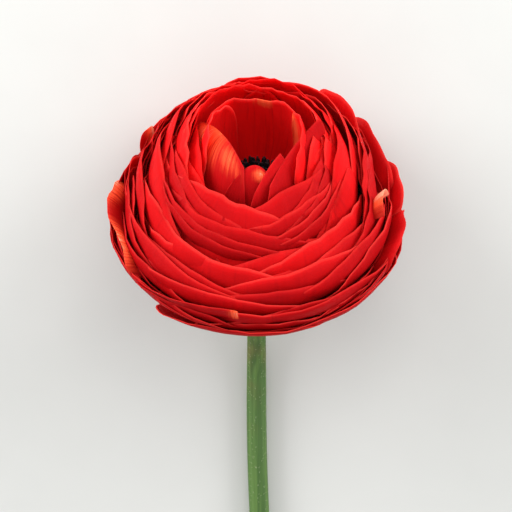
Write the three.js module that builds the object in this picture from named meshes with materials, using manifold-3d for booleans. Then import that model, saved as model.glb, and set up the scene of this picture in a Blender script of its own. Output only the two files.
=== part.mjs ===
// A cut Persian buttercup (Ranunculus asiaticus): one double red bloom on a short bent stem.
// It lies on a table, held up by the pressed rim of its outer petals and by its stem.
// Millimetres, +Z up. The stem runs towards -Y and the bloom leans back towards +Y.

import * as THREE from "three";
import Module from "manifold-3d";

const wasm = await Module();
wasm.setup();

// ---------------------------------------------------------------- driving dimensions
const BLOOM_LEAN = THREE.MathUtils.degToRad(50); // from upright, back towards +Y
const BASE_HEIGHT = 22.6; // of the middle of the bloom's flat underside above the table
const GAP = 0.3; // between pieces that touch

const PETAL_THICKNESS = 0.65;
const PETAL_COLUMNS = 6; // facets across one petal
const PETAL_ROWS = [0, 0.3, 0.58, 0.82, 1]; // facet lines from its root to its rim
const CLAW_WIDTH = 0.3; // a petal's width at its root, as a share of its full width
const RINGS = 13; // of petals, from the guard petals in to the bowl
const RING_PETALS = 3;
const RING_TURN = THREE.MathUtils.degToRad(77); // each ring covers the gaps of the one outside it
const RING_START = THREE.MathUtils.degToRad(262); // where the outermost ring's first petal stands
const OPEN_RING = 9; // from here in, a ring's front petal gives way to the two broad ones there
const OPEN_FRONT = 0.6; // sine of how far a petal may turn to the front and still have its place
const GUARD_TURN = THREE.MathUtils.degToRad(14); // the outermost ring is turned this much further
const TOP_RISE = 8.3; // how much higher rims stand at the back of the bloom than at its sides
const SHOULDER = 0.05; // how much wider the bloom is between its back and its sides, as a share
const TABLE_STACK = 1.5; // how much higher each next ring lies where the table presses it
const TABLE_SOFTNESS = 0.8; // how gently a pressed petal turns up off the table
const REST_CUT = 0.14; // depth of the flat spot that the petals rest on

const CORE = { bottom: 10, waist: 17, waistHeight: 9.5, top: 10.2, height: 18 };

const STAMENS = 30;
const STAMEN_HEIGHT = 14;
const STAMEN_SIDES = 5;
const CARPEL_HEIGHT = 12.5;
const CARPEL_SIDES = 16;
const CARPEL_ROWS = 9;
const CARPEL_RELIEF = 0.3;

const SEPALS = 5;
const SEPAL_REACH = 15;
const SEPAL_HALF_WIDTH = 5.4;
const SEPAL_THICKNESS = 0.9;
const CALYX_RADIUS = 6.4;
const CALYX_HEIGHT = 4.2;

const STEM_RADIUS = 3.4; // where it lies on the table
const STEM_NECK_RADIUS = 2.9; // under the calyx
const STEM_STRAIGHT = 78; // the stretch that lies on the table
const STEM_DRIFT = 4; // how far the straight stretch wanders sideways
const STEM_SIDES = 12;
const STEM_CUT_SLANT = 0.35;
const PITH_RADIUS = 1.5; // the stem is hollow
const PITH_DEPTH = 9;

// The petals' shells, from the guard petals to the ring round the bowl: where a petal's rim
// ends, how far it bellies out past that, half of its width along its rim, and how much lower
// the rim stands at the front of the bloom.
const SHELLS = [
  { radius: 45.0, height: 13.0, belly: 0.3, halfWidth: 29, dip: 0 },
  { radius: 44.6, height: 20.0, belly: 1.0, halfWidth: 34, dip: 0 },
  { radius: 40.2, height: 27.5, belly: 2.0, halfWidth: 33, dip: 0 },
  { radius: 35.0, height: 34.0, belly: 3.4, halfWidth: 31, dip: 2.5 },
  { radius: 30.2, height: 39.5, belly: 4.6, halfWidth: 29, dip: 4 },
  { radius: 25.4, height: 43.5, belly: 5.6, halfWidth: 26, dip: 8 },
  { radius: 21.2, height: 46.3, belly: 5.8, halfWidth: 23, dip: 7 },
  { radius: 17.4, height: 48.0, belly: 5.4, halfWidth: 20, dip: 5.5 },
];

// ---------------------------------------------------------------- small helpers
const mix = THREE.MathUtils.lerp;
const smooth = (x) => THREE.MathUtils.smoothstep(x, 0, 1);

// A repeatable draw from 0 to 1 for petal `index`; `use` tells its several draws apart.
function draw(index, use) {
  const wild = Math.sin(index * 12.9898 + use * 78.233) * 43758.5453;
  return wild - Math.floor(wild);
}

// The same, from -1 to 1.
const swing = (index, use) => 2 * draw(index, use) - 1;

// A closed THREE geometry as a solid, and a solid as a THREE geometry.
function toSolid(geometry) {
  const position = geometry.getAttribute("position");
  const mesh = new wasm.Mesh({
    numProp: 3,
    vertProperties: new Float32Array(position.array),
    triVerts: new Uint32Array(geometry.index.array),
  });
  mesh.merge();
  return new wasm.Manifold(mesh);
}

function toGeometry(solid) {
  const mesh = solid.getMesh();
  const geometry = new THREE.BufferGeometry();
  geometry.setAttribute("position", new THREE.BufferAttribute(mesh.vertProperties, 3));
  geometry.setIndex(new THREE.BufferAttribute(mesh.triVerts, 1));
  geometry.computeVertexNormals();
  return geometry;
}

// The largest of a solid's separate bodies: a loose scrap left by a cut is dropped.
function largestBody(solid) {
  const bodies = solid.decompose();
  return bodies.reduce((a, b) => (a.volume() > b.volume() ? a : b));
}

// A closed geometry from rings of points, each ring the same length: capped by the middles of
// its first and last ring, or with its last ring joined to its first.
function loft(rings, joined = false) {
  const sides = rings[0].length;
  const positions = rings.flat().flatMap((p) => [p.x, p.y, p.z]);
  const triangles = [];
  for (let r = 0; r < rings.length - (joined ? 0 : 1); r++) {
    const next = ((r + 1) % rings.length) * sides;
    for (let i = 0; i < sides; i++) {
      const a = r * sides + i;
      const b = r * sides + ((i + 1) % sides);
      const c = next + ((i + 1) % sides);
      const d = next + i;
      triangles.push(a, b, c, a, c, d);
    }
  }
  const caps = joined ? [] : [[rings[0], 0, true], [rings.at(-1), (rings.length - 1) * sides, false]];
  for (const [ring, first, flip] of caps) {
    const middle = ring.reduce((sum, p) => sum.add(p), new THREE.Vector3());
    middle.divideScalar(sides);
    const hub = positions.length / 3;
    positions.push(middle.x, middle.y, middle.z);
    for (let i = 0; i < sides; i++) {
      const a = first + i;
      const b = first + ((i + 1) % sides);
      triangles.push(hub, flip ? b : a, flip ? a : b);
    }
  }
  const geometry = new THREE.BufferGeometry();
  geometry.setAttribute("position", new THREE.Float32BufferAttribute(positions, 3));
  geometry.setIndex(triangles);
  return geometry;
}

// The points of a circle round Z.
function circle(radius, height, sides) {
  return Array.from({ length: sides }, (_, i) => {
    const angle = (2 * Math.PI * i) / sides;
    return new THREE.Vector3(radius * Math.cos(angle), radius * Math.sin(angle), height);
  });
}

// A solid turned round the Z axis from [radius, height] points, listed upwards.
function turned(profile, sides) {
  return toSolid(loft(profile.map(([radius, height]) => circle(radius, height, sides))));
}

// A turned ring that stays open in its middle.
function turnedRing(profile, sides) {
  return toSolid(loft(profile.map(([radius, height]) => circle(radius, height, sides)), true));
}

// ---------------------------------------------------------------- blades
// A thin blade round the surface middle(u, v), with u from -1 to 1 across and v from 0 to 1
// along it. Both faces are split alike, so they never cross.
function blade(middle, columns, rows, thickness) {
  const front = [];
  const back = [];
  const step = 0.02;
  for (const v of rows) {
    for (let c = 0; c <= columns; c++) {
      const u = (2 * c) / columns - 1;
      const across = middle(Math.min(u + step, 1), v).sub(middle(Math.max(u - step, -1), v));
      const along = middle(u, Math.min(v + step, 1)).sub(middle(u, Math.max(v - step, 0)));
      const half = across.cross(along).normalize().multiplyScalar(thickness / 2);
      const point = middle(u, v);
      front.push(point.clone().add(half));
      back.push(point.clone().sub(half));
    }
  }
  const width = columns + 1;
  const last = rows.length - 1;
  const under = front.length;
  const triangles = [];
  for (let r = 0; r < last; r++) {
    for (let c = 0; c < columns; c++) {
      const a = r * width + c;
      const [b, d, e] = [a + 1, a + width, a + width + 1];
      triangles.push(a, b, e, a, e, d);
      triangles.push(under + a, under + e, under + b, under + a, under + d, under + e);
    }
  }
  const rim = [];
  for (let c = 0; c < columns; c++) rim.push(c);
  for (let r = 0; r < last; r++) rim.push(r * width + columns);
  for (let c = columns; c > 0; c--) rim.push(last * width + c);
  for (let r = last; r > 0; r--) rim.push(r * width);
  rim.forEach((a, i) => {
    const b = rim[(i + 1) % rim.length];
    triangles.push(a, under + a, under + b, a, under + b, b);
  });
  const geometry = new THREE.BufferGeometry();
  const positions = [...front, ...back].flatMap((p) => [p.x, p.y, p.z]);
  geometry.setAttribute("position", new THREE.Float32BufferAttribute(positions, 3));
  geometry.setIndex(triangles);
  return toSolid(geometry);
}

// ---------------------------------------------------------------- petals
// The bloom's own frame has its origin in the middle of its flat underside, +Z along the
// bloom's axis, and -Y towards the side that shows its face.

const TABLE_NORMAL = new THREE.Vector3(0, -Math.sin(BLOOM_LEAN), Math.cos(BLOOM_LEAN));

// Moves a point that would sink into the table up on to it.
function pressOnTable(point, floor) {
  const height = BASE_HEIGHT + point.dot(TABLE_NORMAL);
  const above = (height - floor) / TABLE_SOFTNESS;
  if (above > 20) return point;
  const held = floor + TABLE_SOFTNESS * Math.log1p(Math.exp(above));
  return point.addScaledVector(TABLE_NORMAL, held - height);
}

// The middle surface of one petal.
function petalSurface(petal) {
  const { azimuth, root, rim, belly, halfAngle } = petal;
  const profile = new THREE.CubicBezierCurve(
    new THREE.Vector2(root.radius, root.height),
    new THREE.Vector2(mix(root.radius, rim.radius + belly, 0.72), root.height - petal.sag),
    new THREE.Vector2(rim.radius + belly * 1.9, mix(root.height, rim.height, petal.fullness)),
    new THREE.Vector2(rim.radius, rim.height),
  );
  return (u, v) => {
    const shell = profile.getPoint(v * (1 - petal.rounding * Math.abs(u) ** petal.roundness));
    const widen = mix(CLAW_WIDTH, 1, smooth(v / 0.62));
    const angle = azimuth + u * halfAngle * widen;
    const wave = petal.wave * v ** 4 * Math.sin(Math.PI * (petal.waves * u + petal.phase));
    const side = Math.sin(angle);
    const square = 1 + SHOULDER * Math.sin(2 * angle) ** 2 * Math.max(side, 0) * smooth(v);
    const radius = (shell.x + petal.cup * u * u * v * v + wave + petal.curl * v ** 8) * square;
    const height = shell.y + 0.6 * wave + petal.droop * u * v * v;
    const lift = (TOP_RISE * side * (1.5 - 0.5 * side ** 2) * radius) / (radius + 6);
    const rise = lift - petal.dip * smooth(-side / 0.75);
    const shift = (Math.max(height, 0) / 50) ** 1.5;
    return pressOnTable(
      new THREE.Vector3(
        radius * Math.cos(angle) + petal.shift.x * shift,
        radius * Math.sin(angle) + petal.shift.y * shift,
        height + rise * smooth(height / 40),
      ),
      petal.floor,
    );
  };
}

// The petals that stand in rings round the bowl, from the outermost in.
function ringPetals() {
  const petals = Array.from({ length: RINGS * RING_PETALS }, (_, k) => {
    const ring = Math.floor(k / RING_PETALS);
    const t = ring / (RINGS - 1);
    const place = Math.min(t * (SHELLS.length - 1), SHELLS.length - 1.001);
    const [low, high] = SHELLS.slice(Math.floor(place), Math.floor(place) + 2);
    const at = (key) => mix(low[key], high[key], place % 1);
    const turn = RING_START + ring * RING_TURN + ((k % RING_PETALS) * 2 * Math.PI) / RING_PETALS;
    return {
      azimuth: turn + 0.25 * swing(k, 2) + (ring === 0 ? GUARD_TURN : 0),
      root: { radius: mix(10, 12.5, t), height: mix(2.2, 13, t) },
      rim: { radius: at("radius") + 0.3 * swing(k, 1), height: at("height") + 1.2 * swing(k, 3) },
      belly: at("belly"),
      fullness: 0.55,
      sag: mix(4.5, 1, t),
      halfAngle: (at("halfWidth") * (1.18 + 0.12 * swing(k, 4))) / (at("radius") + at("belly")),
      rounding: 0.2 + 0.12 * draw(k, 5),
      roundness: 2,
      cup: mix(0.4, -0.3, t),
      wave: mix(0.8, 0.4, t) * (0.5 + draw(k, 7)),
      waves: 1.6 + 1.2 * draw(k, 8),
      phase: 2 * draw(k, 9),
      droop: 2 * swing(k, 10),
      dip: at("dip"),
      curl: -0.9 * Math.min(1, t / 0.35) * (0.6 + 0.6 * draw(k, 17)),
      shift: { x: 0, y: 0 },
      floor: PETAL_THICKNESS / 2 - REST_CUT + TABLE_STACK * ring,
    };
  });
  return petals.filter(
    ({ azimuth }, k) => k < OPEN_RING * RING_PETALS || Math.sin(azimuth) > -OPEN_FRONT,
  );
}

// The petals inside the bowl, placed one by one: where each stands in degrees, the radius and
// height of its rim, how far it bellies out below that, how full its shoulder is, how much of
// the circle it wraps in degrees, how much shorter its sides are, how square its top is, and
// how much its rim climbs from one side to the other.
const BOWL = [
  [88, 16, 45.5, 3, 0.55, 66, 0.08, 3, 0], // back wall
  [2, 14.4, 50, 3, 0.55, 44, 0.04, 3, 0], // right wall
  [152, 13.5, 48, 4, 0.55, 44, 0.1, 3, 0], // left wall
  [246, 17.5, 45.5, 8.5, 0.68, 62, 0.16, 2, -2], // broad front, left
  [300, 16.5, 46, 7.5, 0.66, 60, 0.16, 2, 2], // broad front, right
];
const BOWL_SHIFT = { x: -1, y: -2 };
const BOWL_ROOT = { radius: 12, height: 14.5 };

function bowlPetals() {
  return BOWL.map(([place, radius, height, belly, fullness, wrap, rounding, roundness, droop], k) => ({
    azimuth: THREE.MathUtils.degToRad(place),
    root: BOWL_ROOT,
    rim: { radius, height },
    belly,
    fullness,
    sag: -2,
    halfAngle: THREE.MathUtils.degToRad(wrap),
    rounding,
    roundness,
    cup: -0.8,
    wave: 0.4,
    waves: 1.5,
    phase: 2 * draw(k, 11),
    droop,
    dip: 0,
    curl: 0,
    shift: BOWL_SHIFT,
    floor: 0,
  }));
}

// The petals folded over the bowl: where each is rooted in degrees, how much of the circle its
// root wraps, the points that its rim starts from, leads towards and ends at, how far it bulges
// out below the rim and how far down, how much shorter its sides are, how square its top is.
const FOLDS = [
  [208, 56, [-15, 11, 45], [-11, 3, 49], [-3.5, -7, 45], 8, 1, 0.1, 3], // bright one on the left
  [320, 50, [4, -14, 42], [9, -4, 46], [18, 4.5, 51.5], 6, 2, 0.03, 2], // long one on the right
  [290, 34, [-0.5, -15.5, 40], [2.5, -11, 43.5], [6.5, -5.5, 47], 5, 1, 0.04, 2], // small one inside it
  [266, 46, [-5.2, -10.5, 42], [-0.4, -5.6, 46.5], [4.4, -11.5, 42], 5.5, 0.5, 0.05, 4], // round heart
];

// The middle surface of one folded petal.
function foldedSurface([place, wrap, start, lead, end, bulge, drop, rounding, roundness]) {
  const [from, through, to] = [start, lead, end].map((point) => new THREE.Vector3(...point));
  const rimLine = new THREE.QuadraticBezierCurve3(from, through, to);
  return (u, v) => {
    const widen = mix(CLAW_WIDTH, 1, smooth(v / 0.62));
    const angle = THREE.MathUtils.degToRad(place + u * wrap * widen);
    const out = new THREE.Vector3(Math.cos(angle), Math.sin(angle), 0);
    const root = out.clone().multiplyScalar(BOWL_ROOT.radius).setZ(BOWL_ROOT.height);
    const rim = rimLine.getPoint((u + 1) / 2);
    const low = root.clone().addScaledVector(out, 8).add(new THREE.Vector3(0, 0, 8));
    const high = rim.clone().addScaledVector(out, bulge).sub(new THREE.Vector3(0, 0, drop));
    const profile = new THREE.CubicBezierCurve3(root, low, high, rim);
    return profile.getPoint(v * (1 - rounding * Math.abs(u) ** roundness));
  };
}

function makePetals() {
  const { bottom, waist, waistHeight, top, height } = CORE;
  const core = turned(
    [
      [bottom, 0],
      [mix(bottom, waist, 0.75), 3],
      [waist, waistHeight],
      [mix(waist, top, 0.3), mix(waistHeight, height, 0.6)],
      [top, height],
    ],
    12,
  );
  const surfaces = [
    ...[...ringPetals(), ...bowlPetals()].map(petalSurface),
    ...FOLDS.map(foldedSurface),
  ];
  const blades = surfaces.map((surface) => blade(surface, PETAL_COLUMNS, PETAL_ROWS, PETAL_THICKNESS));
  const fused = wasm.Manifold.union([core, ...blades]);
  return toGeometry(largestBody(fused.trimByPlane(TABLE_NORMAL.toArray(), -BASE_HEIGHT)));
}

// ---------------------------------------------------------------- calyx
// Five sepals on a small collar under the bloom, bent back towards the stem.
function sepalSurface(azimuth) {
  const out = new THREE.Vector3(Math.cos(azimuth), Math.sin(azimuth), 0);
  const aside = new THREE.Vector3(-Math.sin(azimuth), Math.cos(azimuth), 0);
  return (u, v) => {
    const reach = 4 + SEPAL_REACH * v - 3 * v ** 3;
    const half = SEPAL_HALF_WIDTH * Math.sin(Math.PI * mix(0.2, 0.94, v));
    const height = -1.7 - 1.4 * v - 5.5 * v ** 2.2 - 0.4 * u * u;
    return new THREE.Vector3(0, 0, height).addScaledVector(out, reach).addScaledVector(aside, u * half);
  };
}

function makeCalyx() {
  const collar = turned(
    [
      [STEM_NECK_RADIUS + 0.4, -CALYX_HEIGHT],
      [mix(STEM_NECK_RADIUS, CALYX_RADIUS, 0.7), -0.8 * CALYX_HEIGHT],
      [CALYX_RADIUS, -0.4 * CALYX_HEIGHT],
      [CALYX_RADIUS, -GAP],
    ],
    STEM_SIDES,
  );
  const sepals = Array.from({ length: SEPALS }, (_, k) => {
    const azimuth = (2 * Math.PI * (k + 0.3)) / SEPALS + 0.12 * swing(k, 12);
    return blade(sepalSurface(azimuth), 4, [0, 0.25, 0.5, 0.75, 1], SEPAL_THICKNESS);
  });
  return toGeometry(largestBody(wasm.Manifold.union([collar, ...sepals])));
}

// ---------------------------------------------------------------- the dark eye
// A stalk of joined circles along `path`, with a radius for each of its points.
function stalk(path, radii, sides) {
  const rings = path.map((point, i) => {
    const ahead = path[Math.min(i + 1, path.length - 1)].clone();
    const way = ahead.sub(path[Math.max(i - 1, 0)]).normalize();
    const across = new THREE.Vector3(1, 0, 0).cross(way).normalize();
    const aside = across.clone().cross(way);
    return Array.from({ length: sides }, (_, side) => {
      const angle = (-2 * Math.PI * (side + 0.5)) / sides;
      return point
        .clone()
        .addScaledVector(across, radii[i] * Math.cos(angle))
        .addScaledVector(aside, radii[i] * Math.sin(angle));
    });
  });
  return toSolid(loft(rings));
}

// A crown of stamens, thin stalks with thick dark tips, on a ring they share.
function makeStamens() {
  const foot = CORE.height + GAP;
  const collar = turnedRing(
    [
      [6.2, foot],
      [8.9, foot],
      [8.6, foot + 1.2],
      [6.5, foot + 1.2],
    ],
    20,
  );
  const stamens = Array.from({ length: STAMENS }, (_, k) => {
    const azimuth = (2 * Math.PI * k) / STAMENS + 0.05 * swing(k, 13);
    const inner = k % 2;
    const base = inner ? 7.0 : 7.8;
    const lean = inner ? -0.3 : 0.5;
    const height = STAMEN_HEIGHT * (inner ? 0.86 : 1) * (0.94 + 0.06 * draw(k, 14));
    const path = [0.04, 0.55, 0.68, 0.9, 1].map((v) => {
      const reach = base + lean * v ** 2;
      return new THREE.Vector3(
        reach * Math.cos(azimuth),
        reach * Math.sin(azimuth),
        foot + height * v,
      );
    });
    return stalk(path, [0.42, 0.38, 0.72, 0.7, 0.35], STAMEN_SIDES);
  });
  return toGeometry(largestBody(wasm.Manifold.union([collar, ...stamens])));
}

// The cone of many small carpels, drawn as one knobbly body.
function makeCarpels() {
  const foot = CORE.height + GAP;
  const profile = new THREE.CubicBezierCurve(
    new THREE.Vector2(3.9, 0),
    new THREE.Vector2(5.6, 0.35 * CARPEL_HEIGHT),
    new THREE.Vector2(4.6, 0.95 * CARPEL_HEIGHT),
    new THREE.Vector2(0.9, CARPEL_HEIGHT),
  );
  const rings = Array.from({ length: CARPEL_ROWS }, (_, row) => {
    const { x: radius, y: height } = profile.getPoint(row / (CARPEL_ROWS - 1));
    return circle(radius, foot + height, CARPEL_SIDES).map((point, i) => {
      const knob = (i + row) % 2 ? CARPEL_RELIEF : -CARPEL_RELIEF;
      const grown = row > 0 && row < CARPEL_ROWS - 1 ? knob : 0;
      return point.setX(point.x * (1 + grown / radius)).setY(point.y * (1 + grown / radius));
    });
  });
  return toGeometry(toSolid(loft(rings)));
}

// ---------------------------------------------------------------- stem
// It leaves the calyx along the bloom's axis, bends until it lies level, and runs on along
// the table to a slanting cut that shows its hollow.
function makeStem() {
  const bend = Math.PI / 2 - BLOOM_LEAN;
  const facet = Math.cos(Math.PI / STEM_SIDES); // a side's distance from the middle, per radius
  const drop = -(CALYX_HEIGHT + GAP);
  const neck = new THREE.Vector2(drop * Math.sin(BLOOM_LEAN), BASE_HEIGHT + drop * Math.cos(BLOOM_LEAN));
  const arc = (neck.y - STEM_RADIUS * facet) / (1 - Math.cos(bend));
  const steps = 8;
  const stations = [];
  for (let i = 0; i < steps; i++) {
    const slope = bend * (1 - i / steps);
    stations.push({
      y: neck.x - arc * (Math.sin(bend) - Math.sin(slope)),
      z: neck.y - arc * (Math.cos(slope) - Math.cos(bend)),
      slope,
      x: 0,
      radius: mix(STEM_NECK_RADIUS, STEM_RADIUS, i / steps),
    });
  }
  const level = neck.x - arc * Math.sin(bend);
  for (let i = 0; i <= steps; i++) {
    const v = i / steps;
    stations.push({
      y: level - STEM_STRAIGHT * v,
      z: STEM_RADIUS * facet,
      slope: 0,
      x: STEM_DRIFT * v * v,
      radius: STEM_RADIUS,
    });
  }
  const ring = ({ x, y, z, slope, radius }, cut) =>
    Array.from({ length: STEM_SIDES }, (_, i) => {
      const angle = (2 * Math.PI * (i + 0.5)) / STEM_SIDES;
      const rise = radius * Math.sin(angle);
      return new THREE.Vector3(
        x + radius * Math.cos(angle),
        y - rise * Math.sin(slope) + cut * rise,
        z + rise * Math.cos(slope),
      );
    });
  const end = stations.at(-1);
  const inside = { ...end, radius: PITH_RADIUS };
  const rings = [
    ...stations.slice(0, -1).map((station) => ring(station, 0)),
    ring(end, STEM_CUT_SLANT),
    ring(inside, STEM_CUT_SLANT),
    ring({ ...inside, y: end.y + PITH_DEPTH }, 0),
  ];
  return toGeometry(toSolid(loft(rings)));
}

// ---------------------------------------------------------------- assembly
const bloom = new THREE.Group();
bloom.rotation.x = -BLOOM_LEAN;
bloom.position.z = BASE_HEIGHT;

const placed = new THREE.Group();
placed.add(bloom);

function addPiece(group, name, geometry, color, roughness) {
  const material = new THREE.MeshStandardMaterial({ color, roughness, metalness: 0 });
  const piece = new THREE.Mesh(geometry, material);
  piece.name = name;
  group.add(piece);
}

addPiece(bloom, "petals", makePetals(), 0xd01218, 0.5);
addPiece(bloom, "calyx", makeCalyx(), 0x6f8a3a, 0.6);
addPiece(bloom, "stamens", makeStamens(), 0x16101a, 0.7);
addPiece(bloom, "carpels", makeCarpels(), 0x23261a, 0.7);
addPiece(placed, "stem", makeStem(), 0x5c7a34, 0.55);

// The origin is the middle of the flower's footprint, on the table.
const box = new THREE.Box3().setFromObject(placed, true);
placed.position.set(-(box.min.x + box.max.x) / 2, -(box.min.y + box.max.y) / 2, -box.min.z);

const flower = new THREE.Group();
flower.add(placed);
export default flower;
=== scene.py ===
# %% [markdown]
# # A cut Persian buttercup, laid down
# The flower is a double bloom on a short cut stem. It lies on its outer petals and on the
# straight stretch of its stem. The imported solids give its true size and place, and every
# piece here takes its place from them. Lengths are worked out in millimetres and made
# metres at the end, because a petal is easier to think of as 45 mm than as 0.045 m.

# %% Load the solids
import math

import bpy
import numpy as np
from mathutils import Matrix, Vector


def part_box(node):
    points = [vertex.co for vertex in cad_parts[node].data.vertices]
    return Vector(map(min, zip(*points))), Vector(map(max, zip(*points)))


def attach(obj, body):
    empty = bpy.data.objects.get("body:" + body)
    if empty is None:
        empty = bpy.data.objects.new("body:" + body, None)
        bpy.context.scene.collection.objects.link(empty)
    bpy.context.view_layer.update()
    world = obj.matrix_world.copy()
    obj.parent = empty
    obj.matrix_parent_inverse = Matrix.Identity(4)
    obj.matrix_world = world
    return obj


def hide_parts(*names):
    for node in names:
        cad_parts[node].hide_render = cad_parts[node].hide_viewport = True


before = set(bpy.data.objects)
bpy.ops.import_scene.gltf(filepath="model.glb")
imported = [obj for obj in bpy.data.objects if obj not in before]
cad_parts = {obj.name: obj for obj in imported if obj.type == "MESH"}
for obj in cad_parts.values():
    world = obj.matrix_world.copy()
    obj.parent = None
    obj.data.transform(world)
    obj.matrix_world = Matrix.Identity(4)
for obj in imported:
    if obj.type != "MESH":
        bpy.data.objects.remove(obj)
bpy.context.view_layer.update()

print("solids:", sorted(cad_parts))

# %% [markdown]
# ## Where the bloom is
# The bloom leans 50 degrees from upright. Its petals are easiest to describe in the bloom's
# own frame: the origin in the middle of its flat underside, Z along its axis and -Y towards
# the side that shows its face. One matrix takes that frame to the world. Its shift is read
# from the stem's solid, whose end and flank have known places in the design.

# %% The bloom's frame
LEAN = math.radians(50)
BASE_HEIGHT = 22.6
STEM_RADIUS = 3.4
STEM_SIDES = 12
CALYX_HEIGHT = 4.2
GAP = 0.3
STEM_STRAIGHT = 78.0
STEM_CUT_SLANT = 0.35

facet = math.cos(math.pi / STEM_SIDES)
bend = math.pi / 2 - LEAN
neck_y = -(CALYX_HEIGHT + GAP) * math.sin(LEAN)
neck_z = BASE_HEIGHT - (CALYX_HEIGHT + GAP) * math.cos(LEAN)
neck_arc = (neck_z - STEM_RADIUS * facet) / (1 - math.cos(bend))
level_y = neck_y - neck_arc * math.sin(bend)
cut_y = level_y - STEM_STRAIGHT
stem_low, stem_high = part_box("stem")
shift = Vector((
    stem_low[0] * 1000 + STEM_RADIUS * facet,
    stem_low[1] * 1000 - cut_y + STEM_CUT_SLANT * STEM_RADIUS * facet,
    0.0,
))
MM = Matrix.Scale(0.001, 4)
design_to_world = MM @ Matrix.Translation(shift)
bloom_to_world = (
    design_to_world
    @ Matrix.Translation((0, 0, BASE_HEIGHT))
    @ Matrix.Rotation(-LEAN, 4, "X")
)
print("the design is shifted by", [round(v, 3) for v in shift], "mm")


def carry(points, matrix):
    """Points, an (n, 3) array, taken through a matrix."""
    turn = np.array(matrix.to_3x3())
    return points @ turn.T + np.array(matrix.translation)


# %% [markdown]
# ## Repeatable chance
# No two petals are alike, but the flower must come out the same at every run. A draw is the
# fraction of a wild sine of the petal's number, the same one that the solids were made with,
# so each fine petal lies where its coarse solid does.

# %% Draws
def draw(index, use):
    wild = math.sin(index * 12.9898 + use * 78.233) * 43758.5453
    return wild - math.floor(wild)


def swing(index, use):
    return 2 * draw(index, use) - 1


def mix(a, b, t):
    return a + (b - a) * t


def smooth(x):
    x = np.clip(x, 0, 1)
    return x * x * (3 - 2 * x)


print("the first petal's draws:", [round(draw(0, use), 3) for use in range(1, 6)])

# %% [markdown]
# ## Points and their marks
# The formulas work on all points of a mesh at once. These helpers read a piece's points, put
# new ones in their place, and keep a number at each point, which a material can read.

# %% Helpers for points
def points_of(piece):
    flat = np.empty(len(piece.data.vertices) * 3)
    piece.data.vertices.foreach_get("co", flat)
    return flat.reshape(-1, 3)


def move_points(piece, points):
    piece.data.vertices.foreach_set("co", np.asarray(points, dtype=np.float32).ravel())


def mark(piece, name, values):
    """Keeps one value for each of the piece's points."""
    kept = piece.data.attributes.new(name, "FLOAT", "POINT")
    kept.data.foreach_set("value", np.asarray(values, dtype=np.float32))


def deselect():
    bpy.ops.object.select_all(action="DESELECT")


def pick(piece):
    """Makes a piece the only one that the next operator works on."""
    deselect()
    piece.select_set(True)
    bpy.context.view_layer.objects.active = piece


# %% [markdown]
# ## The outline of one petal
# A petal grows from a narrow claw at the core, swings out along a shell of the bloom and ends
# in a broad, slightly wavy rim. It could be sculpted by hand, but the bloom has scores of
# them, so a formula bends a flat grid, on which u runs across from -1 to 1 and v from the
# root to the rim. Its corners are rounded and its rim is a little ragged, so every column of
# the grid stops somewhat short of the full length.

# %% How far each column reaches
def ripple(petal, u, waves, phase):
    """A wave across the petal, between -1 and 1."""
    return np.sin(math.pi * (waves * petal["waves"] * u + phase * petal["phase"]))


def reach_of(petal, u):
    """The share of its full length that the petal has at u."""
    rounded = petal["rounding"] * np.abs(u) ** petal["roundness"]
    corners = petal["corner"] * (1 - np.sqrt(1 - np.minimum(np.abs(u), 1) ** 6))
    ragged = petal["ragged"] * (ripple(petal, u, 1.4, 5) + 0.5 * ripple(petal, u, 3.3, 9))
    return (1 - rounded - corners + ragged) * (petal["reach"] + petal["tilt"] * u)


# what most petals have in common
PLAIN = {
    "roundness": 2,
    "corner": 0.26,
    "reach": 1.0,
    "tilt": 0.0,
    "curl": 0.0,
    "out": 0.0,
    "dip": 0.0,
    "shift": (0, 0),
    "floor": 0.0,
    "patches": [],
}
sample = {**PLAIN, "rounding": 0.2, "ragged": 0.006, "waves": 2.0, "phase": 0.5}
across = np.array([-0.95, -0.5, 0, 0.5, 0.95])
print("a petal reaches", reach_of(sample, across).round(2))

# %% [markdown]
# ## From claw to rim
# Seen from the side, a petal is one smooth curve. A Bezier curve of four heights and one of
# four radii describe it, with a belly where the petal swells. Waves, ruffles and curl grow
# with v, because only the free end of a petal is thin enough to ripple.

# %% The profile of a petal
# how much farther out and up a petal lies that has an outward shift of one
OUT_SHARE = 0.75
UP_SHARE = 0.65


def bezier(p0, p1, p2, p3, t):
    s = 1 - t
    return p0 * s**3 + 3 * p1 * s * s * t + 3 * p2 * s * t * t + p3 * t**3


def profile(petal, u, v):
    """The radius from the bloom's axis and the height above its underside."""
    root, rim, belly = petal["root"], petal["rim"], petal["belly"]
    t = v * reach_of(petal, u)
    radius = bezier(root[0], mix(root[0], rim[0] + belly, 0.72), rim[0] + belly * 1.9, rim[0], t)
    middle = mix(root[1], rim[1], petal["fullness"])
    height = bezier(root[1], root[1] - petal["sag"], middle, rim[1], t)
    wave = petal["wave"] * v**4 * ripple(petal, u, 1, 1)
    ruffle = petal["ruffle"] * v**7 * ripple(petal, u, 3.3, 3)
    outwards = petal["out"] * smooth(v / 0.4)
    radius = radius + petal["cup"] * u * u * v * v + petal["curl"] * v**8 + OUT_SHARE * outwards
    height = height + petal["droop"] * u * v * v + UP_SHARE * outwards
    return radius + wave + ruffle, height + 0.6 * wave + 0.5 * ruffle


print("a curve's middle:", bezier(0, 1, 2, 4, 0.5))

# %% [markdown]
# ## Round the bloom
# The columns fan out round the bloom's axis. A real bloom isn't quite round: its back rises,
# its front dips so that it shows its bowl, and its shoulders are full. Where the table would
# cut into a petal, its points are eased up on to the table, as the bloom's weight does.

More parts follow.
